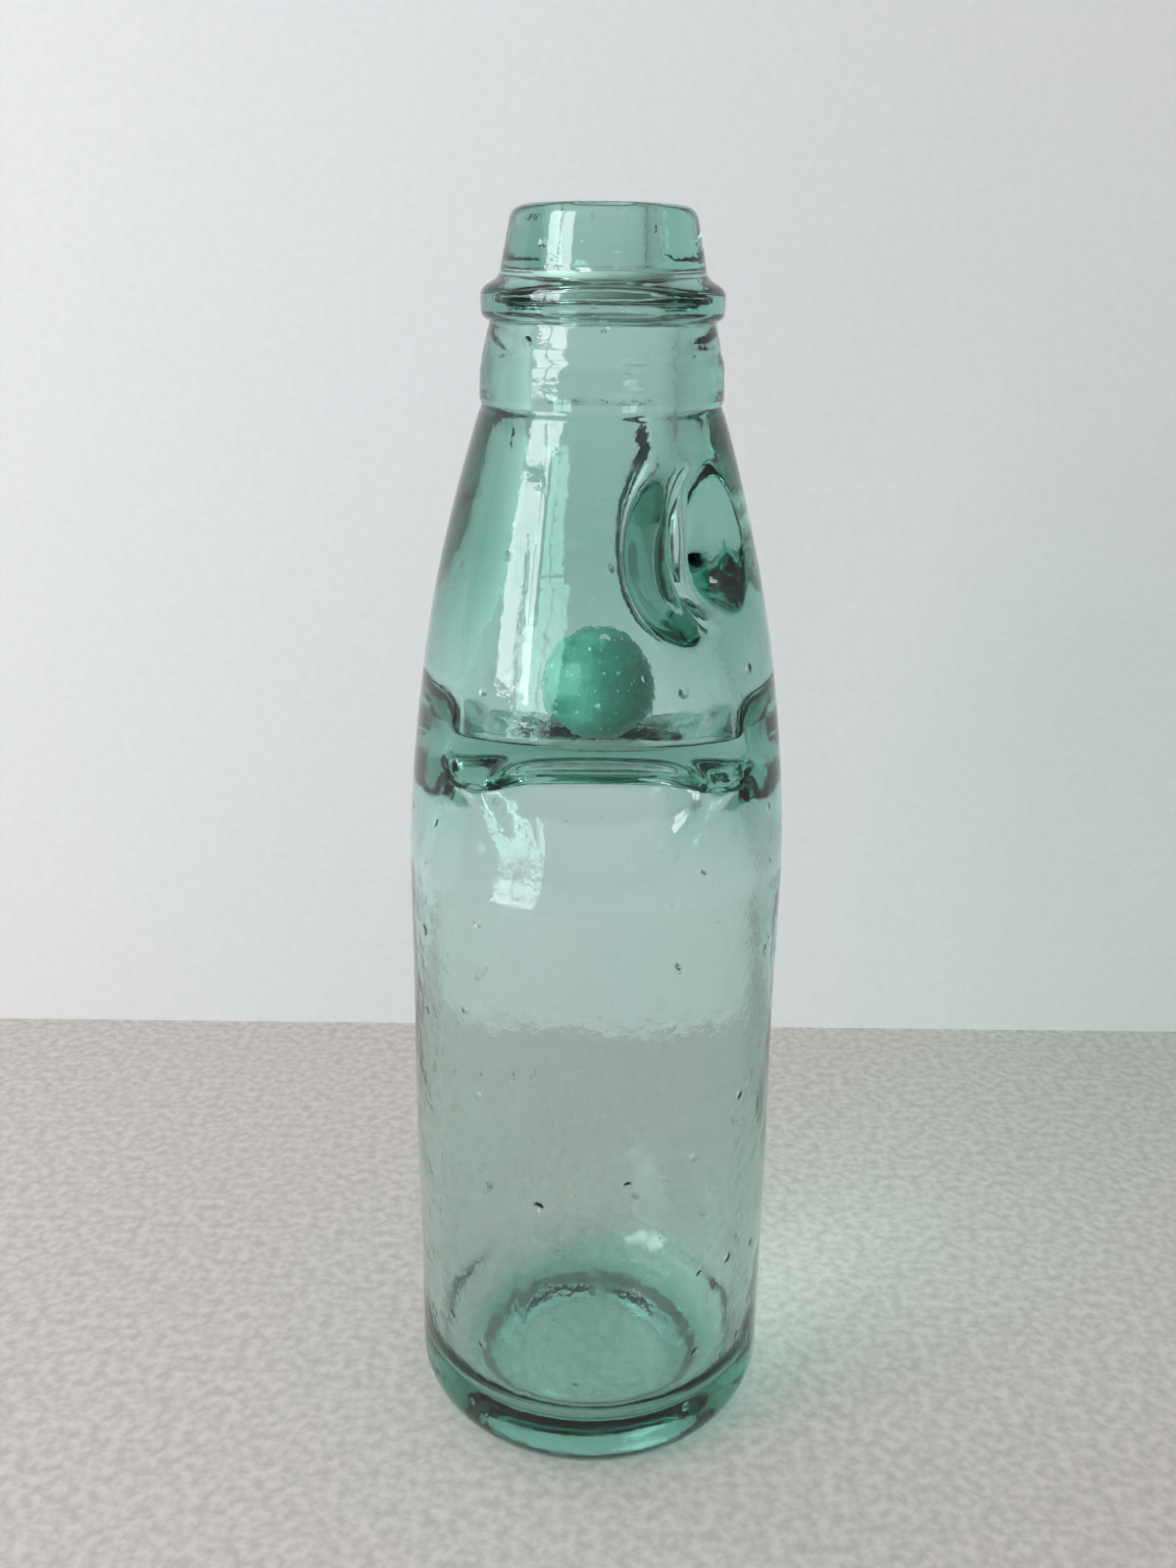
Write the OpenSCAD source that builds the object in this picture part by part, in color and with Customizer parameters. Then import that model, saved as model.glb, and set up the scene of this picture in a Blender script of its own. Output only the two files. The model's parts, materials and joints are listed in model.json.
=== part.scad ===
// Marble stopper bottle: a pressed glass bottle with a loose glass marble trapped between a
// pinched waist and a rubber ring in the lip. Millimetres, +Z up, origin at the centre of the
// ring on which the bottle stands. The two dents of the pinch face -Y and +Y, and the two
// lugs that hold the marble back while pouring lie on the +X side.

/* [Body] */
// Overall height, foot to rim
total_h = 231; // [224:1:250]
// Outer diameter of the straight body
body_d = 70; // [66:1:76]
// Radius of the heel between the body and the foot
heel_r = 11; // [7:0.5:14]
// Width of the flat ring on which the bottle stands
foot_w = 6; // [3:0.5:9]
// Height of the hollow under the foot
push_up = 2.5; // [1:0.5:4]
// Height at which the straight body begins to turn in
shoulder_z = 112; // [100:1:120]
// Outer diameter of the neck under the collar
neck_d = 41.2; // [40:0.2:46]

/* [Finish] */
// Height of the tapered lip above the bead
lip_h = 10.8; // [9:0.1:13]
// Outer diameter of the lip at its root
lip_base_d = 34.8; // [34:0.1:37]
// Outer diameter of the lip at the rim
lip_rim_d = 30.2; // [28:0.1:32]
// Radius of the lip's outer edge
lip_edge_r = 1.6; // [0.5:0.1:2.5]
// Height of the rounded bead under the lip
bead_h = 7.2; // [6:0.2:8]
// Outer diameter of the bead
bead_d = 41; // [40:0.2:44]
// Outer diameter of the groove between bead and collar
groove_d = 37.8; // [36:0.2:38.2]
// Height of the collar under the bead
collar_h = 13.6; // [9:0.2:16]
// Outer diameter of the collar at its upper edge
collar_top_d = 38.8; // [38.4:0.2:41]
// Outer diameter of the collar near its lower edge
collar_d = 41.8; // [41.6:0.2:46]

/* [Cavity] */
// Thickness of the body wall
body_wall = 4.5; // [3:0.1:6]
// Thickness of the floor above the foot
floor_t = 10; // [8:0.5:14]
// Radius between the floor and the body wall, inside
floor_r = 8; // [4:0.5:12]
// Height of the chamber's widest point above the pinch
chamber_rise = 11.5; // [9:0.5:14]
// Inner diameter of the chamber at its widest
chamber_d = 49; // [42:0.5:52]
// Height of the chamber's cone above its widest point
chamber_h = 39; // [34:1:42]
// Inner diameter half way up the cone
cone_mid_d = 35; // [33:0.5:37]
// Inner diameter of the neck
neck_bore_d = 25.2; // [24:0.2:26]
// Bore of the mouth
mouth_d = 13.8; // [12:0.2:15]
// Radius of the mouth's rounded inner edge
mouth_edge_r = 1.6; // [0.5:0.1:2.2]

/* [Pinch] */
// Height of the pinch
pinch_z = 139.5; // [136:0.5:143]
// Gap between the two inner ridges of the pinch
pinch_gap = 9; // [5:0.2:11]
// Height of the ridges' top above the pinch
ridge_rise = 3.8; // [2.5:0.1:5]
// Thickness of the ridges at their edge
ridge_h = 5.3; // [4:0.1:6.5]
// Radius of the ridges' rounded edges
ridge_edge_r = 1.2; // [0.8:0.1:1.8]
// Slope of the ridges' top and underside, from the level
ridge_slope = 5; // [3:0.5:8]
// Distance from the bottle's axis at which the ridges' underside turns down
ridge_depth = 16; // [14:0.5:18]
// Distance of the root of each dent from the bottle's axis
dent_root = 20.5; // [19.5:0.1:23]
// Radius of the dents' rounded root
dent_root_r = 1; // [0.6:0.1:1.4]
// Half the width of each dent
dent_half_w = 17; // [14:0.5:19]
// Slope of the dents' upper side, from the level
dent_up = 22; // [16:1:24]
// Slope of the dents' lower side, from the level
dent_down = 39; // [36:1:44]
// Inner diameter of the waist beside the pinch
waist_d = 41; // [36:1:48]
// Height of the waist's middle above the pinch
waist_rise = 2.5; // [0:0.5:4]
// Height of the waist's straight part
waist_h = 5; // [2:0.5:8]

/* [Lugs] */
// Angle of each lug from the +X side
lug_angle = 48; // [40:1:60]
// Height of the lugs above the pinch
lug_rise = 40; // [36:0.5:42]
// Lean of the lug's long axis, its foot towards the axis of the bottle
lug_lean = 15; // [0:1:25]
// Depth of the lug's tool, half its thickness
lug_depth = 6; // [4:0.1:8]
// Half the width of the lug's tool
lug_half_w = 6; // [4:0.1:8]
// Half the length of the lug's tool
lug_half_len = 12; // [9:0.5:15]
// Thickness of the glass in the lugs
lug_wall = 5.5; // [4:0.1:7]
// Free space between a lug and the marble on the bottle's axis
lug_gap = 0.7; // [0.4:0.1:2]

/* [Marble] */
// Diameter of the marble
marble_d = 20.6; // [19:0.1:21.5]
// Free space under the resting marble
marble_rest_gap = 0.25; // [0.2:0.01:0.4]

/* [Seal] */
// Thickness of the rubber ring
ring_t = 4.6; // [4:0.1:5]
// Bore of the rubber ring
ring_bore_d = 15.6; // [15:0.1:17]
// How much wider than its groove the free rubber ring is, on the radius
ring_squeeze = 0.1; // [0.05:0.01:0.2]
// Free height in the ring's groove, above and below the ring
ring_play = 0.05; // [0.02:0.01:0.2]
// Height of the ledge that holds the ring up
ledge_h = 2; // [1.5:0.1:3]
// Free space between the ledge and the marble
ledge_gap = 0.4; // [0.3:0.1:0.8]

/* [Hidden] */
$fn = 96;
cut = 1;

body_r = body_d / 2;
neck_r = neck_d / 2;
foot_r = body_r - heel_r;
marble_r = marble_d / 2;
mouth_r = mouth_d / 2;

// The finish, from the rim down
bead_top_z = total_h - lip_h;
bead_z = bead_top_z - bead_h / 2;
collar_top_z = bead_top_z - bead_h;
neck_top_z = collar_top_z - collar_h;
collar_edge = 1.2;
collar_tuck = 0.2;
groove_chamfer = 0.6;

// One arc, upright at the body, carries the shoulder up to the neck
shoulder_rise = neck_top_z - shoulder_z;
shoulder_in = body_r - neck_r;
shoulder_r = (shoulder_rise * shoulder_rise + shoulder_in * shoulder_in) / (2 * shoulder_in);

// The ring's groove hangs under the mouth, and the ledge under the groove
ring_wire_r = ring_t / 2;
ring_r = ring_bore_d / 2 + ring_wire_r;
groove_r = ring_r + ring_wire_r - ring_squeeze;
seat_lift = 0.3;
groove_top_z = bead_top_z + seat_lift;
groove_h = ring_t + 2 * ring_play;
ring_z = groove_top_z - groove_h / 2;
ledge_r = marble_r + ledge_gap;
ledge_z = groove_top_z - groove_h - ledge_h;
neck_bore_r = neck_bore_d / 2;

// The chamber over the pinch, with a cone in two slopes
chamber_z = pinch_z + chamber_rise;
chamber_r = chamber_d / 2;
chamber_edge = 1.5;
cone_mid_z = chamber_z + chamber_h / 2;
cone_top_z = chamber_z + chamber_h;
neck_flare = 1.2;
neck_flare_h = 6;
ledge_chamfer = 1.5;

// The waist, and the room for the drink under it
waist_r = waist_d / 2;
waist_top_z = pinch_z + waist_rise + waist_h / 2;
waist_foot_z = waist_top_z - waist_h;
bore_r = body_r - body_wall;
room_turn = 3;
room_turn_h = 9;
room_slope = 1.1;
room_turn_z = waist_foot_z - (bore_r - room_turn - waist_r) * room_slope;
room_top_z = room_turn_z - room_turn_h;

// The ridges and the dents of the pinch, as sections that run along X. Their arcs stand a
// hair proud of the straight sides.
ridge_y = pinch_gap / 2 + ridge_edge_r;
ridge_top_z = pinch_z + ridge_rise - ridge_edge_r;
ridge_foot_z = pinch_z + ridge_rise - ridge_h + ridge_edge_r;
section_out = body_r + 5;
arc_proud = 0.985;

// The marble rests on the rounded upper edges of the ridges
rest_reach = marble_r + ridge_edge_r + marble_rest_gap;
marble_z = ridge_top_z + sqrt(rest_reach * rest_reach - ridge_y * ridge_y);

// The lugs: each is an egg pressed in until the glass behind it clears the marble
lug_z = pinch_z + lug_rise;
lug_in_depth = lug_depth + lug_wall;
lug_in_len = lug_half_len + lug_wall;
lug_reach = sqrt(pow(lug_in_depth * cos(lug_lean), 2) + pow(lug_in_len * sin(lug_lean), 2));
lug_axis = marble_r + lug_gap + lug_reach;

// Half of a disc that stays on the right of the turning axis
module half_disc(r, at) {
    intersection() {
        translate(at) circle(r);
        translate([0, at[1] - r - cut]) square([at[0] + r + cut, 2 * (r + cut)]);
    }
}

// Half outline of the outside: heel, body, shoulder arc, collar, bead and lip
module outer_half() {
    difference() {
        union() {
            half_disc(heel_r, [foot_r, heel_r]);
            square([foot_r, heel_r + cut]);
            translate([0, heel_r]) square([body_r, shoulder_z - heel_r]);
            intersection() {
                translate([body_r - shoulder_r, shoulder_z]) circle(shoulder_r);
                translate([0, shoulder_z - cut]) square([body_r, shoulder_rise + cut]);
            }
            polygon([
                [0, neck_top_z - cut], [neck_r, neck_top_z],
                [collar_d / 2 - collar_tuck, neck_top_z], [collar_d / 2, neck_top_z + collar_edge],
                [collar_top_d / 2, collar_top_z - groove_chamfer],
                [groove_d / 2, collar_top_z], [groove_d / 2, bead_top_z - groove_chamfer],
                [lip_base_d / 2, bead_top_z], [lip_rim_d / 2, total_h - lip_edge_r],
                [lip_rim_d / 2 - lip_edge_r, total_h], [0, total_h]
            ]);
            half_disc(lip_edge_r, [lip_rim_d / 2 - lip_edge_r, total_h - lip_edge_r]);
            half_disc(bead_h / 2, [(bead_d - bead_h) / 2, bead_z]);
        }
        translate([-cut, -cut]) square([foot_r - foot_w + cut, push_up + cut]);
    }
}

// Half outline of the inside: body room, waist, chamber, neck, ledge, groove and mouth
module inner_half() {
    // Room for the drink, under the pinch
    half_disc(floor_r, [bore_r - floor_r, floor_t + floor_r]);
    translate([0, floor_t]) square([bore_r - floor_r, floor_r + cut]);
    polygon([
        [0, floor_t + floor_r], [bore_r, floor_t + floor_r], [bore_r, room_top_z],
        [bore_r - room_turn, room_turn_z], [waist_r, waist_foot_z], [waist_r, waist_top_z],
        [chamber_r - chamber_edge, chamber_z - chamber_edge],
        [chamber_r, chamber_z + chamber_edge], [cone_mid_d / 2, cone_mid_z],
        [neck_bore_r + neck_flare, cone_top_z - neck_flare_h], [neck_bore_r, cone_top_z],
        [neck_bore_r, ledge_z - ledge_chamfer], [ledge_r, ledge_z],
        [ledge_r, groove_top_z - cut], [mouth_r, groove_top_z - cut],
        [mouth_r, total_h - mouth_edge_r], [mouth_r + mouth_edge_r, total_h],
        [mouth_r + mouth_edge_r, total_h + cut], [0, total_h + cut]
    ]);
    translate([0, groove_top_z - groove_h]) square([groove_r, groove_h]);
}

// Section of one ridge: distance from the axis, and height
module ridge_section() {
    chord = ridge_edge_r * arc_proud;
    edge_x = ridge_y - chord;
    top_x = ridge_y - chord * sin(ridge_slope);
    top_z = ridge_top_z + chord * cos(ridge_slope);
    foot_z = ridge_foot_z - chord * cos(ridge_slope);
    deep_z = foot_z - (ridge_depth - top_x) * tan(ridge_slope);
    translate([ridge_y, ridge_top_z]) circle(ridge_edge_r);
    translate([ridge_y, ridge_foot_z]) circle(ridge_edge_r);
    polygon([
        [edge_x, ridge_foot_z], [edge_x, ridge_top_z], [top_x, top_z],
        [section_out, top_z + (section_out - top_x) * tan(ridge_slope)],
        [section_out, deep_z - (section_out - ridge_depth) * tan(dent_down)],
        [ridge_depth, deep_z], [top_x, foot_z]
    ]);
}

// Section of one dent: distance from the axis, and height
module dent_section() {
    chord = dent_root_r * arc_proud;
    root_x = dent_root + dent_root_r;
    up_x = root_x - chord * sin(dent_up);
    up_z = pinch_z + chord * cos(dent_up);
    down_x = root_x - chord * sin(dent_down);
    down_z = pinch_z - chord * cos(dent_down);
    translate([root_x, pinch_z]) circle(dent_root_r);
    polygon([
        [down_x, down_z], [up_x, up_z],
        [section_out, up_z + (section_out - up_x) * tan(dent_up)],
        [section_out, down_z - (section_out - down_x) * tan(dent_down)]
    ]);
}

// A section carried along X on both sides, -Y and +Y
module along_x(half_w) {
    for (turn = [0, 180])
        rotate([0, 0, turn])
            rotate([90, 0, -90]) linear_extrude(2 * half_w, center = true) children();
}

// One lug's egg, grown by some thickness, on the +X side
module lug_egg(grow = 0) {
    translate([lug_axis, 0, lug_z])
        rotate([0, lug_lean, 0])
            scale([lug_depth + grow, lug_half_w + grow, lug_half_len + grow]) sphere(1);
}

module lugs(grow = 0) {
    for (side = [-1, 1]) rotate([0, 0, side * lug_angle]) lug_egg(grow);
}

module glass_bottle() {
    color([0.62, 0.80, 0.74, 0.45])
        difference() {
            rotate_extrude() outer_half();
            difference() {
                rotate_extrude() inner_half();
                along_x(body_r) ridge_section();
                lugs(lug_wall);
            }
            along_x(dent_half_w) dent_section();
            lugs();
        }
}

module marble() {
    color([0.22, 0.50, 0.42, 0.9])
        translate([0, 0, marble_z]) sphere(marble_r);
}

module sealing_ring() {
    color([0.72, 0.78, 0.74, 0.8])
        translate([0, 0, ring_z])
            rotate_extrude()
                translate([ring_r, 0]) circle(ring_wire_r);
}

glass_bottle();
marble();
sealing_ring();
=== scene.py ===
# %% [markdown]
# # A marble stopper bottle in pressed green glass
#
# The bottle is one piece of aqua-green glass with a marble loose inside it. Its waist is
# pinched, so the marble can't fall into the drink, and two small lugs hold the marble back
# while someone pours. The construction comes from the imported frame: this script only gives
# each piece its finished surface. Everything is in metres, +Z up, with the origin at the
# centre of the foot.

# %% Load the frame
import json
import math
import bpy
import numpy as np
from mathutils import Euler, Matrix, Vector

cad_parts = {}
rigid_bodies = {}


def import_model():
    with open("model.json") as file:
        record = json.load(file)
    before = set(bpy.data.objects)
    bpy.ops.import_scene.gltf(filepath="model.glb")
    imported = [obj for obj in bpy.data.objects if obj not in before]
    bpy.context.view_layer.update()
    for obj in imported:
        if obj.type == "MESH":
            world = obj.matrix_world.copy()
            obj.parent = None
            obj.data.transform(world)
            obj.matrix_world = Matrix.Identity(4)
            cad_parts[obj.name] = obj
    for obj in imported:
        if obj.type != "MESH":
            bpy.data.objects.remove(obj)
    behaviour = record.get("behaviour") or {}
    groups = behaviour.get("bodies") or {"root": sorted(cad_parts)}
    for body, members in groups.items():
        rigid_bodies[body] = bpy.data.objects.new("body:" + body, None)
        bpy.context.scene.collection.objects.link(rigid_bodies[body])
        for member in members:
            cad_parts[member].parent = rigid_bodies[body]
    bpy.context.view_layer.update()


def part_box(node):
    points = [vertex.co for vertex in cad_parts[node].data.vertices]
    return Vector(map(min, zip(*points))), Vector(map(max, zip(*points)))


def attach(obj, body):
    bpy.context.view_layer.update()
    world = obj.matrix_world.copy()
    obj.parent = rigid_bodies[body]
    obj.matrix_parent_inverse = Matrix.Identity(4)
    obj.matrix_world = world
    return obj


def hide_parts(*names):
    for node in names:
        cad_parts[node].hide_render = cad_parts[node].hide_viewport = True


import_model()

MM = 0.001

# %% [markdown]
# ## The camera
#
# A camera is fitted to a photograph from things of known form. The straight sides of the
# body draw together downwards, which gives the tilt against the distance. The foot shows as
# an ellipse and the rings of the neck as almost straight lines, so the lens is level with
# the neck and looks down at the foot. Those three together leave one focal length.

# %% Camera at the photograph's viewing angle
IMAGE_H_PX = 1600
FOCAL_PX = 1480.0
CAMERA_TILT = math.radians(18.5)
CAMERA_ROLL = math.radians(0.65)
CAMERA_PLACE = (-0.0016, -0.2563, 0.2165)
SENSOR_MM = 36.0
NEAREST_SEEN = 0.01

camera_data = bpy.data.cameras.new("camera")
camera_data.sensor_fit = "VERTICAL"
camera_data.sensor_height = SENSOR_MM
camera_data.lens = FOCAL_PX / IMAGE_H_PX * SENSOR_MM
camera_data.clip_start = NEAREST_SEEN
camera = bpy.data.objects.new("camera", camera_data)
bpy.context.scene.collection.objects.link(camera)
camera.location = CAMERA_PLACE
level = Euler((math.radians(90) - CAMERA_TILT, 0, 0)).to_matrix()
camera.rotation_euler = (level @ Matrix.Rotation(CAMERA_ROLL, 3, "Z")).to_euler()
bpy.context.scene.camera = camera
print("lens in mm:", round(camera_data.lens, 1))

# %% [markdown]
# ## Real sizes
#
# These are the sizes that a bottle maker would write on the drawing, in millimetres. What
# the frame already says is read from it: the height, the body, the marble and the ring. So
# the finished surface follows when one of those changes.

# %% Sizes that the frame gives, in millimetres
def size_mm(node):
    """Lowest and highest corner of a node at rest, in millimetres."""
    low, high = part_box(node)
    return np.array(low) / MM, np.array(high) / MM


bottle_high = size_mm("glass_bottle")[1]
marble_low, marble_high = size_mm("marble")
ring_low, ring_high = size_mm("sealing_ring")

TOTAL_H = bottle_high[2]
BODY_R = bottle_high[0]
MARBLE_R = (marble_high[2] - marble_low[2]) / 2
MARBLE_Z = (marble_high[2] + marble_low[2]) / 2
RING_Z = (ring_high[2] + ring_low[2]) / 2
RING_WIRE_R = (ring_high[2] - ring_low[2]) / 2
RING_R = ring_high[0] - RING_WIRE_R
print("height", round(TOTAL_H, 1), "body radius", round(BODY_R, 1), "marble", round(2 * MARBLE_R, 1))

# %% Sizes of the finished surface, in millimetres
SHOULDER_Z = 112.0
NECK_R = 20.6
NECK_TOP_Z = 199.4
FOOT_HOLLOW_H = 2.5
RIM_MIDDLE_R = 11.5
MOUTH_R = 6.9
RING_GROOVE_R = 12.4
LEDGE_R = MARBLE_R + 0.4
NECK_BORE_R = 12.6
CHAMBER_R = 25.0
WAIST_R = 20.5
BORE_R = BODY_R - 4.5
FLOOR_Z = 10.0
PINCH_Z = 139.5
LUG_Z = PINCH_Z + 40.0
LUG_ANGLE = math.radians(48)
LUG_LEAN = math.radians(15)
print("wall of the body:", round(BODY_R - BORE_R, 1), "pinch at", PINCH_Z, "lugs at", LUG_Z)

# %% [markdown]
# ## Outlines with rounded corners
#
# Moulded glass has no sharp corner anywhere: it is liquid when it meets the mould, and the
# surface pulls every edge round. So an outline is written as a few corners, each with the
# radius that rounds it, and one helper turns them into a smooth chain of points. A curve
# fitted through many points would also work, but then no radius could be named.

# %% Helpers: an outline from corners, and its rows
STRAIGHT = 0.01
LEAST_ARC_POINTS = 3
MOST_ARC_POINTS = 12


def rounded(corners, arc_step=0.7):
    """Chain of (radius, height) points through corners written as (radius, height, fillet).

    At a corner with fillet f and half turn t, the arc starts f * tan(t) before the corner
    and ends as far behind it, on a circle of radius f that touches both sides. Its points
    lie about arc_step apart."""
    corners = np.array(corners, float)
    out = [corners[0, :2]]
    for before, here, after in zip(corners[:-2], corners[1:-1], corners[2:]):
        point, fillet = here[:2], here[2]
        way_in = (before[:2] - point) / np.linalg.norm(before[:2] - point)
        way_out = (after[:2] - point) / np.linalg.norm(after[:2] - point)
        opening = math.acos(np.clip(way_in @ way_out, -1, 1))
        half_turn = (math.pi - opening) / 2
        if fillet == 0 or half_turn < STRAIGHT:
            out.append(point)
            continue
        middle = (way_in + way_out) / np.linalg.norm(way_in + way_out)
        centre = point + middle * fillet / math.cos(half_turn)
        across = way_in - middle * (way_in @ middle)
        across /= np.linalg.norm(across)
        wanted = math.ceil(2 * half_turn * fillet / arc_step) + 1
        points = int(np.clip(wanted, LEAST_ARC_POINTS, MOST_ARC_POINTS))
        for turn in np.linspace(half_turn, -half_turn, points):
            out.append(centre + fillet * (across * math.sin(turn) - middle * math.cos(turn)))
    out.append(corners[-1, :2])
    return np.array(out)


def spread(chain, steps):
    """The chain cut into more points: no stretch is longer than its step.

    steps is a list of (height, step) for the heights above each, lowest first."""
    out = [chain[:1]]
    for start, end in zip(chain[:-1], chain[1:]):
        middle_z = (start[1] + end[1]) / 2
        step = [s for z, s in steps if middle_z >= z][-1]
        count = max(1, int(math.ceil(np.linalg.norm(end - start) / step)))
        share = np.linspace(0, 1, count + 1)[1:, None]
        out.append(start + (end - start) * share)
    return np.concatenate(out)


# %% The bottle's outside
ROW_STEPS = [(-1.0, 3.0), (12.0, 5.0), (112.0, 1.25), (127.0, 0.65), (152.0, 0.95), (196.0, 0.9)]
SHOULDER_STEP = 1.8


def shoulder(z):
    """Radius of the shoulder: one circle arc, upright at the body, up to the neck."""
    rise = NECK_TOP_Z - SHOULDER_Z
    inward = BODY_R - NECK_R
    arc_r = (rise * rise + inward * inward) / (2 * inward)
    return BODY_R - arc_r + np.sqrt(arc_r * arc_r - (z - SHOULDER_Z) ** 2)


foot_and_body = rounded([
    (0, FOOT_HOLLOW_H, 0), (15.0, FOOT_HOLLOW_H, 12),  # hollow under the foot
    (20.0, 0, 3), (BODY_R, 0, 11),                     # standing ring and heel
    (BODY_R, SHOULDER_Z, 0),
])
shoulder_z = np.arange(SHOULDER_Z + SHOULDER_STEP, NECK_TOP_Z - 1.0, SHOULDER_STEP)
shoulder_chain = np.stack([shoulder(shoulder_z), shoulder_z], axis=1)
finish = rounded([
    (NECK_R + 0.2, NECK_TOP_Z - 0.9, 0), (NECK_R - 0.1, NECK_TOP_Z, 0.5),
    (20.9, 200.4, 0.7), (20.75, 206.0, 6), (19.3, 211.9, 0.8),     # collar
    (19.0, 212.9, 0.5), (20.5, 213.4, 1.5),                        # groove
    (20.6, 218.0, 2.2), (17.5, 219.9, 1.6),                        # bead
    (17.2, 221.2, 0.8), (15.2, TOTAL_H, 2.4),                      # lip
    (RIM_MIDDLE_R, TOTAL_H, 0),
])
outside = spread(np.concatenate([foot_and_body, shoulder_chain, finish]), ROW_STEPS)
print("rows outside:", len(outside))

# %% The bottle's inside, from the rim down
inside = spread(rounded([
    (RIM_MIDDLE_R, TOTAL_H, 0), (MOUTH_R, TOTAL_H, 1.8), (MOUTH_R, 220.6, 0.4),
    (RING_GROOVE_R, 220.5, 0.9), (RING_GROOVE_R, 215.8, 0.9),      # groove of the ring
    (LEDGE_R, 215.7, 0.5), (LEDGE_R, 213.8, 0.8),                  # ledge under it
    (NECK_BORE_R, 212.0, 1.2), (NECK_BORE_R, 193.0, 9),            # neck
    (16.4, 172.0, 25), (CHAMBER_R, 151.0, 2.6),                    # chamber
    (WAIST_R, 144.6, 2.2), (WAIST_R, 139.4, 2.2),                  # waist
    (26.3, 131.8, 5), (BORE_R, 118.0, 14),                         # room for the drink
    (BORE_R, FLOOR_Z, 9), (0, FLOOR_Z, 0),
]), ROW_STEPS)
print("rows inside:", len(inside))

# %% [markdown]
# ## The pinch and the lugs
#
# Inside the waist two flat ridges of glass stand across the bottle and carry the marble.
# Outside, a shallow dent at the front and at the back shows where the tool pressed the soft
# wall in. The two lugs above are eggs, pressed in the same way, and the glass behind each
# moves inwards by its own thickness. Cutting such shapes out with a boolean would leave
# creases and crowded faces. Here every wall point is worked out as one distance from the
# axis instead, for each direction and height, and the smaller of wall and dent is taken. A
# plain minimum would leave a knife edge where they meet, so a smooth minimum rounds it.

# %% Helpers: smooth minimum, smooth step and angles
def smooth_min(a, b, reach):
    """The smaller of a and b, rounded over a difference of reach by a parabola."""
    share = np.clip(0.5 + 0.5 * (b - a) / reach, 0, 1)
    return b * (1 - share) + a * share - reach * share * (1 - share)


def smooth_step(value, low, high):
    """0 below low, 1 above high, and 3 t^2 - 2 t^3 of the share t between them."""
    share = np.clip((value - low) / (high - low), 0, 1)
    return share * share * (3 - 2 * share)


def wrapped(angle, middle, full=2 * math.pi):
    """The angle counted from the middle, brought to at most half a full turn either way."""
    return (angle - middle + full / 2) % full - full / 2


print("smooth minimum of 10 and 10 over 4:", smooth_min(10.0, 10.0, 4.0))

# %% Dents and ridges: a section carried across the bottle
MISSED = 200.0
SCAN_STEP = 1.0
SCAN_END = 46.0
HALVINGS = 16


def dent(angle, z, section, half_width, ends=0.5, sweep=0.002):
    """Distance from the axis at which the front or back dent's surface is met.

    The surface lies at |y| = section(z) + sweep * x^2, where section is a chain of points
    (distance, height), and beyond half_width it also climbs by ends * (|x| - half_width)^2.
    The crossing is found by a scan outwards and then by halving."""
    root = np.interp(z, section[::-1, 1], section[::-1, 0])
    along_y = np.abs(np.sin(angle))
    along_x = np.abs(np.cos(angle))

    def past(r):
        x = r * along_x
        swept = sweep * x ** 2 + ends * np.maximum(x - half_width, 0) ** 2
        return r * along_y - (root + swept) >= 0

    shape = np.broadcast(angle, z).shape
    low = np.zeros(shape)
    high = np.full(shape, MISSED)
    found = np.zeros(shape, bool)
    for r in np.arange(SCAN_STEP, SCAN_END, SCAN_STEP):
        first = past(np.full(shape, r)) & ~found
        low = np.where(first, r - SCAN_STEP, low)
        high = np.where(first, r, high)
        found |= first
    for _ in range(HALVINGS):
        middle = (low + high) / 2
        met = past(middle)
        high = np.where(found & met, middle, high)
        low = np.where(found & ~met, middle, low)
    return np.where(found, high, MISSED)


# %% Lugs: two eggs pressed in
LUG_DEPTH = 6.0
LUG_HALF_W = 6.0
LUG_HALF_LEN = 12.0
LUG_WALL = 5.5
LUG_GAP = 0.7


def lug(angle, z, grow):
    """Distance from the axis at which a lug's egg is met, MISSED where it isn't.

    The egg is an ellipsoid whose half axes are grown by the wall for the inside, leaning so
    that its foot is nearer the axis. The ray from the bottle's axis meets it where a
    quadratic in the distance has its smaller root."""
    cos_l, sin_l = math.cos(LUG_LEAN), math.sin(LUG_LEAN)
    reach = math.hypot((LUG_DEPTH + LUG_WALL) * cos_l, (LUG_HALF_LEN + LUG_WALL) * sin_l)
    axis_r = MARBLE_R + LUG_GAP + reach
    depth, half_w, half_len = LUG_DEPTH + grow, LUG_HALF_W + grow, LUG_HALF_LEN + grow
    out = np.full(np.broadcast(angle, z).shape, MISSED)
    for side in (-1, 1):
        turn = wrapped(angle, side * LUG_ANGLE)
        run, across = np.cos(turn), np.sin(turn)
        h = z - LUG_Z
        a1, b1 = cos_l * run / depth, (-cos_l * axis_r - sin_l * h) / depth
        a2 = across / half_w
        a3, b3 = sin_l * run / half_len, (-sin_l * axis_r + cos_l * h) / half_len
        qa = a1 * a1 + a2 * a2 + a3 * a3
        qb = 2 * (a1 * b1 + a3 * b3)
        qc = b1 * b1 + b3 * b3 - 1
        under_root = qb * qb - 4 * qa * qc
        met = (-qb - np.sqrt(np.maximum(under_root, 0))) / (2 * qa)
        hit = (under_root > 0) & (run > 0) & (met > 0)
        out = np.minimum(out, np.where(hit, met, MISSED))
    return out


# %% Both walls of the bottle
COLUMNS = 228
SECTION_STEP = 0.2
PRESSED_FROM_Z = 100
PRESSED_TO_Z = 205
NEAR_AXIS = 11
BEYOND = 30
MELT_FROM_Z = PINCH_Z - 30
MELT_TO_Z = NECK_TOP_Z - 3
MELT_PASSES = 4

angles = np.linspace(0, 2 * math.pi, COLUMNS, endpoint=False)[None, :]
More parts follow.
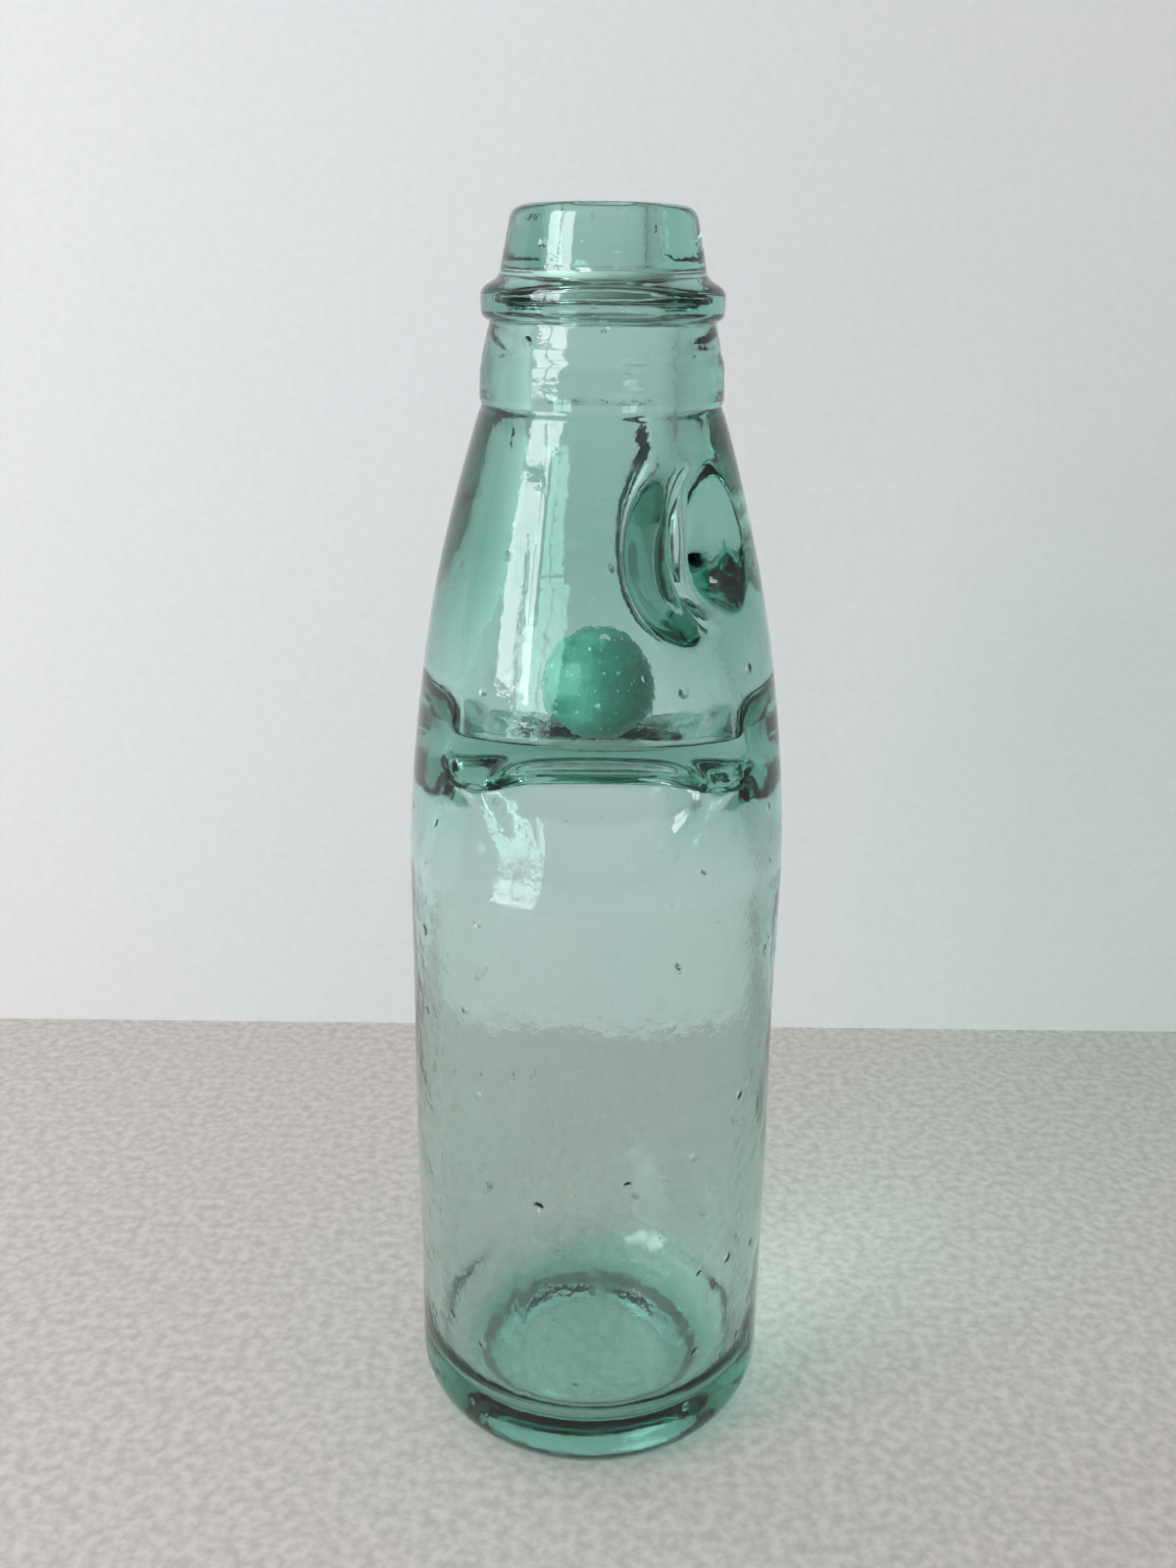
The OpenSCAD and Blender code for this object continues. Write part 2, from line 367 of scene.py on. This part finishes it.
# Sections of the dent outside and the ridge inside: distance from the axis, height, fillet
GROOVE = rounded([
    (60, 155.9, 0), (20.5, PINCH_Z, 1.0), (34.6, 128.0, 0), (60, 107.0, 0),
], SECTION_STEP)
RIDGE = rounded([
    (60, 148.2, 0), (4.5, 143.3, 1.2), (4.5, 138.0, 1.2), (16, 136.9, 4),
    (31, 124.5, 0), (60, 101, 0),
], SECTION_STEP)
# Radius and height of the wider room in front of and behind the ridges
BELLY = np.array([(0, 124), (26.3, 131.8), (27, 136), (26.8, 145), (24.7, 152.2), (0, 160)], float)


def melted(grid):
    """The grid with each point drawn to its neighbours by the weights 1, 2, 1 both ways."""
    for _ in range(MELT_PASSES):
        grid = (np.roll(grid, 1, 1) + 2 * grid + np.roll(grid, -1, 1)) / 4
        grid[1:-1] = (grid[:-2] + 2 * grid[1:-1] + grid[2:]) / 4
    return grid


def pressed(chain, section, half_width, grow, over_blend, under_blend, lug_blend, belly=None):
    """Grid of distances from the axis: the outline, with the dents and lugs pressed in.

    The blends are the reaches of the smooth minimum over the pinch, under it and at the
    lugs. belly gives (radius, height) points of a wider outline at the front and back."""
    radius, z = chain[:, 0:1], chain[:, 1:2]
    here = (z > PRESSED_FROM_Z) & (z < PRESSED_TO_Z) & (radius > NEAR_AXIS)
    if belly is not None:
        wide = np.interp(z, belly[:, 1], belly[:, 0])
        facing = smooth_step(np.abs(np.sin(angles)), 0.30, 0.60)
        radius = np.where(here, radius + np.maximum(wide - radius, 0) * facing, radius)
    met = np.minimum(dent(angles, z, section, half_width), radius + BEYOND)
    blend = np.where(z > PINCH_Z, over_blend, under_blend)
    grid = np.where(here, smooth_min(radius, met, blend), radius + 0 * angles)
    met = np.minimum(lug(angles, z, grow), radius + BEYOND)
    grid = np.where(here, smooth_min(grid, met, lug_blend), grid)
    return np.where((z > MELT_FROM_Z) & (z < MELT_TO_Z), melted(grid), grid)


outer_r = pressed(outside, GROOVE, half_width=12.0, grow=0.0,
                  over_blend=3, under_blend=7, lug_blend=2.2)
inner_r = pressed(inside, RIDGE, half_width=17.5, grow=LUG_WALL,
                  over_blend=2, under_blend=5, lug_blend=3.0, belly=BELLY)
at_pinch = np.abs(inside[:, 1] - PINCH_Z) < 1
print("half the gap between the ridges:", inner_r[at_pinch].min().round(2))

# %% [markdown]
# ## Marks of the mould and the hand
#
# The mould opens in two halves, and each joint leaves a thin seam. The collar was smoothed
# with a tool that left a tilted line, the lip has a nick, and the wall swells a little as
# blown glass does. All of it is less than a millimetre, but the light finds it, so it goes
# into the outside's distances and not into a bump map. Each mark is a bell curve across its
# line.

# %% Seams, tool mark, nick and swells
SEAM_H, SEAM_W = 0.13, 0.7
SEAM_ANGLE = math.radians(-112)
SEAM_SPAN = (4, 12), (190, 197)
MARK_D, MARK_W = 0.35, 0.6
MARK_Z, MARK_TILT, MARK_WANDER = 207.3, 0.85, 0.25
NICK_D, NICK_W = 0.6, 0.55
NICK_ANGLE, NICK_WANDER = math.radians(-54), 0.02
NICK_SPAN = (221.8, 222.6), (227, 228.5)
SWELL_A, SWELL_B = 0.10, 0.07
SWELL_SPAN = (3, 20), (170, 196)


def bell(distance, width):
    """1 on a line, falling off beside it as e to the minus (distance / width)^2."""
    return np.exp(-(distance / width) ** 2)


def between(z, rise, fall):
    """1 from the end of rise to the start of fall, with a smooth step in and out of it."""
    return smooth_step(z, *rise) * (1 - smooth_step(z, *fall))


def hand_marks(grid_r, z):
    """The outside's distances with its marks: seams proud, the other marks sunk.

    The seams stand on two opposite sides, the tool mark runs round the collar on a tilt, the
    nick is short and jagged, and two slow sine waves swell the wall, never past its radius."""
    off_seam = wrapped(angles, SEAM_ANGLE, math.pi) * grid_r
    seam = SEAM_H * bell(off_seam, SEAM_W) * between(z, *SEAM_SPAN)
    mark_z = MARK_Z + MARK_TILT * np.cos(angles) + MARK_WANDER * np.sin(3 * angles + 1)
    mark = MARK_D * bell(z - mark_z, MARK_W) * (0.7 + 0.3 * np.sin(5 * angles))
    off_nick = wrapped(angles + NICK_WANDER * np.sin(3 * z), NICK_ANGLE) * grid_r
    nick = NICK_D * bell(off_nick, NICK_W) * between(z, *NICK_SPAN)
    swell = SWELL_A * np.sin(3 * angles + z / 17) + SWELL_B * np.sin(2 * angles - z / 9 + 2)
    sunk = (swell - SWELL_A - SWELL_B) * between(z, *SWELL_SPAN)
    return np.where(grid_r > NEAR_AXIS, grid_r + seam - mark - nick + sunk, grid_r)


outer_r = hand_marks(outer_r, outside[:, 1:2])
body_r = outer_r[(outside[:, 1] > 20) & (outside[:, 1] < SHOULDER_Z)]
print("body's radius from", body_r.min().round(2), "to", body_r.max().round(2))

# %% [markdown]
# ## One closed skin
#
# Real glass is a solid with two surfaces, so light bends once going in and once coming out
# on each wall. The grid of the outside and the grid of the inside are joined at the rim and
# closed at both poles, which makes one watertight skin with its faces pointing out of the
# glass. Glass made from a single sheet with a thickness modifier would lose the thick
# waist and heel, which give this bottle its dark green bands.

# %% Helpers: a mesh from a closed grid
def piece_from(name, points_mm, faces):
    """Smooth-shaded object at the origin, from points in millimetres and lists of faces."""
    mesh = bpy.data.meshes.new(name)
    mesh.from_pydata((points_mm * MM).tolist(), [], faces)
    mesh.polygons.foreach_set("use_smooth", np.ones(len(mesh.polygons), bool))
    mesh.update()
    piece = bpy.data.objects.new(name, mesh)
    bpy.context.scene.collection.objects.link(piece)
    print(name, "has", len(mesh.polygons), "faces")
    return piece


def quads_between(low, high):
    """Faces between rows of vertex numbers, closing round from the last column."""
    corners = [low, np.roll(low, -1, 1), np.roll(high, -1, 1), high]
    return np.stack(corners, -1).reshape(-1, 4).tolist()


def skin(name, grid, first_pole, last_pole):
    """Piece from rows of points that close round, with a pole point before and after them.

    Point (row, column) of the grid is vertex row * columns + column."""
    rows, columns = grid.shape[:2]
    points = np.concatenate([grid.reshape(-1, 3), [first_pole, last_pole]])
    index = np.arange(rows * columns).reshape(rows, columns)
    start, end = len(points) - 2, len(points) - 1
    first = np.stack([np.full(columns, start), np.roll(index[0], -1), index[0]], -1)
    last = np.stack([np.full(columns, end), index[-1], np.roll(index[-1], -1)], -1)
    quads = quads_between(index[:-1], index[1:])
    return piece_from(name, points, quads + first.tolist() + last.tolist())


def turned(grid_r, z):
    """Points (r cos a, r sin a, z) of a grid of distances from the axis."""
    return np.stack([grid_r * np.cos(angles), grid_r * np.sin(angles), z + 0 * angles], -1)


# %% The bottle
outer_points = turned(outer_r, outside[:, 1:2])
inner_points = turned(inner_r, inside[:, 1:2])
glass_grid = np.concatenate([outer_points[1:], inner_points[1:-1]])
bottle = skin("bottle_glass_body", glass_grid, (0, 0, outside[0, 1]), (0, 0, inside[-1, 1]))
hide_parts("glass_bottle")
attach(bottle, "bottle")

# %% [markdown]
# ## The marble
#
# The marble is a pressed glass ball, never quite round, with a worn skin. A subdivided cube
# could be displaced to the same end, but a ball made as a grid of angles takes slow dents
# from one formula.

# %% The marble
BALL_SHRINK = 0.006


def ball(name, radius, centre, rows=64, columns=128):
    """Ball with its poles on X: radius * (1 - shrink + wobble), the wobble a sum of slow waves."""
    around = np.linspace(0, 2 * math.pi, columns, endpoint=False)[None, :]
    down = np.linspace(0, math.pi, rows + 1)[1:-1, None]
    x = np.cos(down) + 0 * around
    y = np.sin(down) * np.cos(around)
    z = np.sin(down) * np.sin(around)
    wobble = 0.004 * np.sin(3 * x + 1.3) * np.cos(2 * y - 0.4) + 0.003 * np.sin(4 * z + 2 * x)
    grid = np.stack([x, y, z], -1) * radius * (1 - BALL_SHRINK + wobble[..., None])
    pole = np.array((radius * (1 - BALL_SHRINK), 0, 0))
    return skin(name, grid + centre, centre + pole, centre - pole)


marble = ball("glass_marble", MARBLE_R, np.array((0, 0, MARBLE_Z)))
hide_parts("marble")
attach(marble, "marble")

# %% [markdown]
# ## The sealing ring
#
# A rubber ring sits in a groove inside the lip, and gas pressure holds the marble against
# it. A torus would look brand new. This section is a little squarer than round, as rubber
# is that has been squeezed between two walls for years.

# %% The sealing ring
SQUARENESS = 0.85
RING_SLACK = 0.05


def squared(wave):
    """A sine or cosine pushed out towards -1 and 1: its size to the power of SQUARENESS."""
    return np.sign(wave) * np.abs(wave) ** SQUARENESS


def ring(name, major, minor, z, columns=120, rows=28):
    """Ring of a squared circle: r = major + minor * squared(cos), height = minor * squared(sin)."""
    around = np.linspace(0, 2 * math.pi, columns, endpoint=False)[None, :]
    across = np.linspace(0, 2 * math.pi, rows, endpoint=False)[:, None]
    r = major + minor * squared(np.cos(across))
    height = z + minor * squared(np.sin(across)) + 0 * around
    grid = np.stack([r * np.cos(around), r * np.sin(around), height], -1)
    index = np.arange(rows * columns).reshape(rows, columns)
    return piece_from(name, grid.reshape(-1, 3), quads_between(index, np.roll(index, -1, 0)))


seal = ring("rubber_ring", RING_R, RING_WIRE_R - RING_SLACK, RING_Z)
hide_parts("sealing_ring")
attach(seal, "bottle")

# %% [markdown]
# ## Materials
#
# A pattern is read at Object coordinates, so it stays where it is on the piece from any
# side. What several materials share is built once: the waves that a mould leaves, the fine
# pebbling of old glass, and the dull scuffs of a century of washing. They form a node group
# that puts out a normal and a mask, while each shader stays in its own material.

# %% Helpers: node building
COLOUR_A, COLOUR_B, COLOUR_OUT = 6, 7, 2


def new_material(name):
    """A material with nodes: the material, its nodes, its links and its Principled shader."""
    material = bpy.data.materials.new(name)
    material.use_nodes = True
    nodes = material.node_tree.nodes
    return material, nodes, material.node_tree.links, nodes["Principled BSDF"]


def feed(links, socket, value):
    """Sets a socket: by a link if the value is a socket, and else to the value itself."""
    if isinstance(value, bpy.types.NodeSocket):
        links.new(value, socket)
    else:
        socket.default_value = value


def pattern(nodes, links, scale, kind="ShaderNodeTexNoise"):
    """Texture node of some kind at Object coordinates, with about scale features to the metre."""
    coordinates = nodes.new("ShaderNodeTexCoord")
    texture = nodes.new(kind)
    texture.inputs["Scale"].default_value = scale
    links.new(coordinates.outputs["Object"], texture.inputs["Vector"])
    return texture


def ranged(nodes, links, value, low, high, to_low=0.0, to_high=1.0):
    """The value between low and high, carried in a straight line to to_low and to_high."""
    node = nodes.new("ShaderNodeMapRange")
    for socket, number in zip(("From Min", "From Max", "To Min", "To Max"), (low, high, to_low, to_high)):
        node.inputs[socket].default_value = number
    links.new(value, node.inputs["Value"])
    return node.outputs["Result"]


def bumped(nodes, links, height, depth, strength, under=None):
    """Normal tilted by a height map of some depth in metres, over the normal under it."""
    bump = nodes.new("ShaderNodeBump")
    bump.inputs["Distance"].default_value = depth
    links.new(height, bump.inputs["Height"])
    feed(links, bump.inputs["Strength"], strength)
    if under is not None:
        links.new(under, bump.inputs["Normal"])
    return bump.outputs["Normal"]


def noise_mask(nodes, links, scale, low, high):
    """Mask that rises from 0 to 1 where a noise passes from low to high."""
    return ranged(nodes, links, pattern(nodes, links, scale).outputs["Fac"], low, high)


def point_mask(nodes, links, scale, low, high):
    """Mask that goes from 0 to 1 as the distance to scattered points passes low to high."""
    points = pattern(nodes, links, scale, "ShaderNodeTexVoronoi")
    return ranged(nodes, links, points.outputs["Distance"], low, high)


def blended(nodes, links, mask, first, second):
    """Colour that goes from first to second, each a colour or a socket, as the mask rises."""
    mix = nodes.new("ShaderNodeMix")
    mix.data_type = "RGBA"
    links.new(mask, mix.inputs["Factor"])
    for number, colour in ((COLOUR_A, first), (COLOUR_B, second)):
        value = (*colour, 1) if isinstance(colour, tuple) else colour
        feed(links, mix.inputs[number], value)
    return mix.outputs[COLOUR_OUT]


print("helpers for nodes are ready")

# %% Node group: worn glass surface
WAVE_SCALE, WAVE_DEPTH = 110.0, 0.002
PEBBLE_SCALE, PEBBLE_DEPTH = 900.0, 0.0004
SCUFF_SCALE, SCUFF_DETAIL = 240.0, 6.0
SCUFF_FROM, SCUFF_TO = 0.56, 0.74


def worn_surface_group():
    """Node group: a normal with mould waves and pebbles, and a dullness mask for scuffs."""
    group = bpy.data.node_groups.new("worn glass surface", "ShaderNodeTree")
    for name, value in (("Wave height", 0.1), ("Pebble height", 0.05), ("Scuff amount", 0.5)):
        socket = group.interface.new_socket(name, in_out="INPUT", socket_type="NodeSocketFloat")
        socket.default_value = value
    group.interface.new_socket("Normal", in_out="OUTPUT", socket_type="NodeSocketVector")
    group.interface.new_socket("Scuffs", in_out="OUTPUT", socket_type="NodeSocketFloat")
    nodes, links = group.nodes, group.links
    inputs, outputs = nodes.new("NodeGroupInput").outputs, nodes.new("NodeGroupOutput").inputs

    waves = pattern(nodes, links, WAVE_SCALE).outputs["Fac"]
    wavy = bumped(nodes, links, waves, WAVE_DEPTH, inputs["Wave height"])
    pebbles = pattern(nodes, links, PEBBLE_SCALE).outputs["Fac"]
    normal = bumped(nodes, links, pebbles, PEBBLE_DEPTH, inputs["Pebble height"], wavy)
    links.new(normal, outputs["Normal"])

    scuffs = pattern(nodes, links, SCUFF_SCALE)
    scuffs.inputs["Detail"].default_value = SCUFF_DETAIL
    amount = nodes.new("ShaderNodeMath")
    amount.operation = "MULTIPLY"
    links.new(ranged(nodes, links, scuffs.outputs["Fac"], SCUFF_FROM, SCUFF_TO), amount.inputs[0])
    links.new(inputs["Scuff amount"], amount.inputs[1])
    links.new(amount.outputs["Value"], outputs["Scuffs"])
    return group


WORN = worn_surface_group()


def worn(nodes, waves, pebbles, scuffs):
    """The worn glass surface placed in a material, with its own three amounts."""
    node = nodes.new("ShaderNodeGroup")
    node.node_tree = WORN
    node.inputs["Wave height"].default_value = waves
    node.inputs["Pebble height"].default_value = pebbles
    node.inputs["Scuff amount"].default_value = scuffs
    return node.outputs


print("node group", WORN.name, "has", len(WORN.nodes), "nodes")

# %% [markdown]
# ## Green bottle glass
#
# The green is not paint: light loses red as it travels through the glass, so thick places
# are dark and thin walls almost clear. That is what volume absorption does. Small seeds,
# the bubbles of old glass, are dimples round scattered points. A lamp's rays would stop at
# a refracting surface, and the foot would stand in a black shadow, so rays that look for a
# lamp pass straight through and are only tinted by the glass between.

# %% Green bottle glass
GLASS_IOR = 1.52
GLASS_TINT = (0.14, 0.62, 0.51, 1)
GLASS_DENSITY = 54.0
SEED_SCALE, SEED_INNER, SEED_OUTER = 95.0, 0.03, 0.10
SEED_DEPTH, SEED_STRENGTH = 0.0004, 0.8

glass, nodes, links, shader = new_material("green_bottle_glass")
shader.inputs["Base Color"].default_value = (1, 1, 1, 1)
shader.inputs["Transmission Weight"].default_value = 1.0
shader.inputs["IOR"].default_value = GLASS_IOR
surface = worn(nodes, waves=0.07, pebbles=0.05, scuffs=0.30)
seeds = point_mask(nodes, links, SEED_SCALE, SEED_INNER, SEED_OUTER)
dimpled = bumped(nodes, links, seeds, SEED_DEPTH, SEED_STRENGTH, surface["Normal"])
links.new(dimpled, shader.inputs["Normal"])
links.new(surface["Scuffs"], shader.inputs["Roughness"])

absorb = nodes.new("ShaderNodeVolumeAbsorption")
absorb.inputs["Color"].default_value = GLASS_TINT
absorb.inputs["Density"].default_value = GLASS_DENSITY
links.new(absorb.outputs["Volume"], nodes["Material Output"].inputs["Volume"])

ray = nodes.new("ShaderNodeLightPath")
open_way = nodes.new("ShaderNodeBsdfTransparent")
choice = nodes.new("ShaderNodeMixShader")
links.new(ray.outputs["Is Shadow Ray"], choice.inputs["Fac"])
links.new(shader.outputs["BSDF"], choice.inputs[1])
links.new(open_way.outputs["BSDF"], choice.inputs[2])
links.new(choice.outputs["Shader"], nodes["Material Output"].inputs["Surface"])
bottle.data.materials.append(glass)
print("glass absorbs with density", GLASS_DENSITY)

# %% [markdown]
# ## Worn marble glass
#
# The marble has rubbed against the bottle for years, and its skin is nearly frosted, so no
# light shows through it. A solid colour with clouds in it comes closer than clear glass, and
# the clouds also set where it is dull. Small pale specks scattered over it are painted glints.

# %% Worn marble glass
MARBLE_DEEP, MARBLE_CLOUD = (0.030, 0.190, 0.135), (0.075, 0.300, 0.225)
# Pale colour of the painted glints: specks of painted highlight on the marble
MARBLE_PAINTED_GLINT = (0.50, 0.66, 0.60)
CLOUD_SCALE, PAINTED_GLINT_SCALE = 150.0, 620.0

marble_skin, nodes, links, shader = new_material("worn_marble_glass")
surface = worn(nodes, waves=0.12, pebbles=0.35, scuffs=0.2)
cloud = noise_mask(nodes, links, CLOUD_SCALE, 0.40, 0.66)
green = blended(nodes, links, cloud, MARBLE_DEEP, MARBLE_CLOUD)
# Painted glints: small pale specks, scattered at random, stand in for sparkles of light
painted_glints = point_mask(nodes, links, PAINTED_GLINT_SCALE, 0.16, 0.10)
links.new(blended(nodes, links, painted_glints, green, MARBLE_PAINTED_GLINT), shader.inputs["Base Color"])
links.new(surface["Normal"], shader.inputs["Normal"])
links.new(ranged(nodes, links, cloud, 0.0, 1.0, 0.25, 0.6), shader.inputs["Roughness"])
shader.inputs["IOR"].default_value = GLASS_IOR
marble.data.materials.append(marble_skin)
print("marble glass has", len(nodes), "nodes")

# %% [markdown]
# ## Pale rubber
#
# Old rubber fades unevenly and goes chalky. One noise carries the colour between two greys,
# and the shared surface gives it a fine grain.

# %% Pale rubber
RUBBER_DARK, RUBBER_PALE = (0.34, 0.43, 0.38), (0.47, 0.55, 0.49)
RUBBER_ROUGHNESS = 0.5

rubber, nodes, links, shader = new_material("pale_ring_rubber")
surface = worn(nodes, waves=0.1, pebbles=0.3, scuffs=0.2)
links.new(surface["Normal"], shader.inputs["Normal"])
faded = noise_mask(nodes, links, 260.0, 0.38, 0.62)
links.new(blended(nodes, links, faded, RUBBER_DARK, RUBBER_PALE), shader.inputs["Base Color"])
shader.inputs["Roughness"].default_value = RUBBER_ROUGHNESS
seal.data.materials.append(rubber)
print("rubber has", len(nodes), "nodes")

# %% [markdown]
# ## Floor and backdrop
#
# Glass shows what is around it more than itself, so the plain floor and wall matter. A
# curved sweep would hide the line between them, but that line, bent by the bottle, is what
# shows the glass as hollow. The wall shows only its front, so a view from behind looks
# through it.

# %% Floor and wall
HALF = 1.5  # half the width of floor and wall
WALL_Y = 0.152
FLOOR_COLOUR, FLOOR_GRAIN = (0.49, 0.455, 0.425), 0.13
WALL_COLOUR, WALL_GRAIN = (0.69, 0.69, 0.69), 0.015
GRAIN_SCALE = 420.0
STAGE_ROUGHNESS = 0.9


def plane(name, corners, colour, grain, one_sided):
    """Flat stage piece whose colour varies by grain, as a share, from spot to spot."""
    mesh = bpy.data.meshes.new(name)
    mesh.from_pydata(corners, [], [(0, 1, 2, 3)])
    piece = bpy.data.objects.new(name, mesh)
    bpy.context.scene.collection.objects.link(piece)
    material, nodes, links, shader = new_material(name)
    shader.inputs["Roughness"].default_value = STAGE_ROUGHNESS
    spots = noise_mask(nodes, links, GRAIN_SCALE, 0.35, 0.65)
    dark, light = (tuple(share * c for c in colour) for share in (1 - grain, 1 + grain))
    links.new(blended(nodes, links, spots, dark, light), shader.inputs["Base Color"])
    if one_sided:
        geometry = nodes.new("ShaderNodeNewGeometry")
        clear = nodes.new("ShaderNodeBsdfTransparent")
        mix = nodes.new("ShaderNodeMixShader")
        links.new(geometry.outputs["Backfacing"], mix.inputs["Fac"])
        links.new(shader.outputs["BSDF"], mix.inputs[1])
        links.new(clear.outputs["BSDF"], mix.inputs[2])
        links.new(mix.outputs["Shader"], nodes["Material Output"].inputs["Surface"])
    mesh.materials.append(material)
    print(name, "spans", [round(span, 2) for span in piece.dimensions])


plane("floor", [(-HALF, -HALF, 0), (HALF, -HALF, 0), (HALF, HALF, 0), (-HALF, HALF, 0)],
      FLOOR_COLOUR, FLOOR_GRAIN, False)
plane("wall", [(-HALF, WALL_Y, 0), (HALF, WALL_Y, 0), (HALF, WALL_Y, HALF), (-HALF, WALL_Y, HALF)],
      WALL_COLOUR, WALL_GRAIN, True)

# %% [markdown]
# ## Window light and soft sky
#
# The bright streaks down the glass are reflections of daylight from the left. One large
# lamp would leave a plain block, so it comes through four panes with bars between them. The
# rest of the light is a pale sky, dimmer near the ground, which draws soft edges on the
# glass.

# %% A window of four panes
WINDOW_PLACE = Vector((-0.75, -0.55, 0.55))
BOTTLE_MIDDLE = Vector((0, 0, 0.12))
PANE_W, PANE_H = 0.24, 0.38
PANE_ACROSS, PANE_UP = 0.135, 0.21
PANE_POWER = 2.5
DAYLIGHT = (0.94, 0.97, 1)


def window_pane(place, aim):
    """Area lamp of a pane's size at a place, turned to an aim."""
    data = bpy.data.lights.new("window_pane", "AREA")
    data.shape = "RECTANGLE"
    data.size, data.size_y = PANE_W, PANE_H
    data.energy = PANE_POWER
    data.color = DAYLIGHT
    light = bpy.data.objects.new("window_pane", data)
    light.location = place
    light.rotation_euler = (aim - place).to_track_quat("-Z", "Y").to_euler()
    bpy.context.scene.collection.objects.link(light)


window_turn = (BOTTLE_MIDDLE - WINDOW_PLACE).to_track_quat("-Z", "Y")
for across in (-1, 1):
    for up in (-1, 1):
        pane = WINDOW_PLACE + window_turn @ Vector((across * PANE_ACROSS, up * PANE_UP, 0))
        window_pane(pane, pane + (BOTTLE_MIDDLE - WINDOW_PLACE))
print("window light in watts:", 4 * PANE_POWER)

# %% A soft sky
SKY_LOW, SKY_HIGH = 0.32, 0.76
SKY_COLOUR = (0.95, 0.97, 1, 1)

world = bpy.data.worlds.new("soft sky")
world.use_nodes = True
nodes, links = world.node_tree.nodes, world.node_tree.links
sky = nodes["Background"]
direction = nodes.new("ShaderNodeTexCoord")
parts = nodes.new("ShaderNodeSeparateXYZ")
links.new(direction.outputs["Generated"], parts.inputs["Vector"])
rise = ranged(nodes, links, parts.outputs["Z"], 0.05, 0.55, SKY_LOW, SKY_HIGH)
links.new(rise, sky.inputs["Strength"])
sky.inputs["Color"].default_value = SKY_COLOUR
bpy.context.scene.world = world
bpy.context.scene.view_settings.view_transform = "Standard"
print("sky strength from", SKY_LOW, "to", SKY_HIGH)
